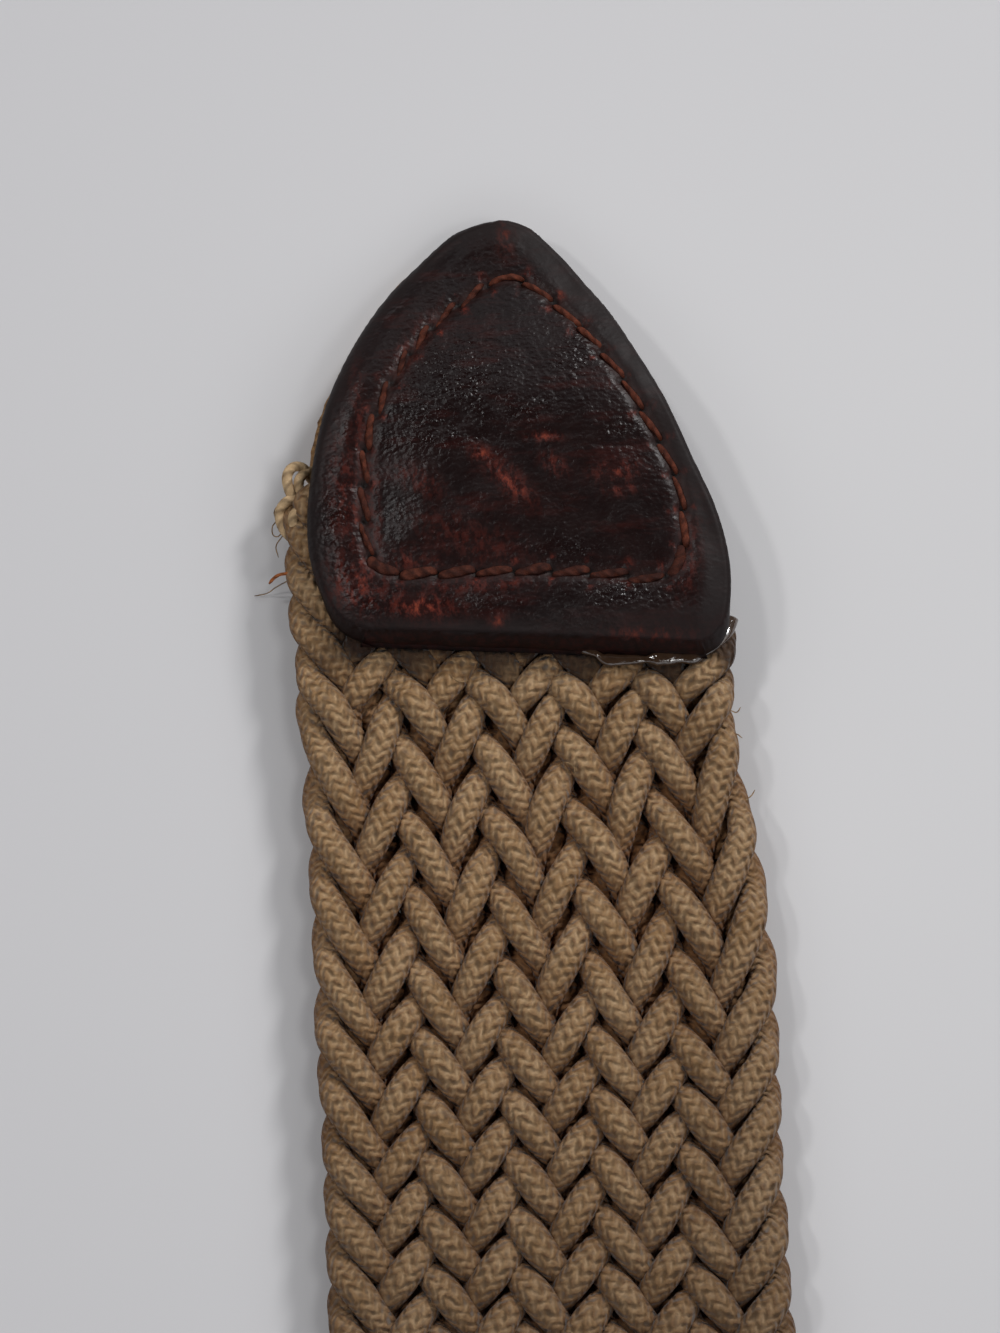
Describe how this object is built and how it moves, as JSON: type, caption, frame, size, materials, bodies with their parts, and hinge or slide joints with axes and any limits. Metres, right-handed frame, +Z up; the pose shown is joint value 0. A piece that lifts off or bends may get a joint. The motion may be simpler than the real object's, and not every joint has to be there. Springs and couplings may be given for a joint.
{
  "type": "braided belt",
  "caption": "Flat herringbone braided cord belt with a stitched shield-shaped leather tip, a folded leather buckle tab and a plain tongue buckle, laid out straight.",
  "frame": {"origin": "centre of the belt's outline on the surface that it lies on", "axes": "+Y along the belt towards its leather tip, +Z up through its thickness, +X across it"},
  "size_m": [0.0456, 1.02, 0.0074],
  "materials": {
    "braid": "round cords with a fine braided sleeve, matt, tan brown",
    "leather": "dark brown grained leather with burnished edges and red scuffs, semi-gloss",
    "backing": "thin backing leather with a raw tan edge",
    "buckle_metal": "satin"
  },
  "bodies": {
    "root": {"braided_strap": "braid", "tip_front": "leather", "tip_back": "backing", "buckle_tab": "leather", "buckle": "buckle_metal"}
  },
  "joints": []
}
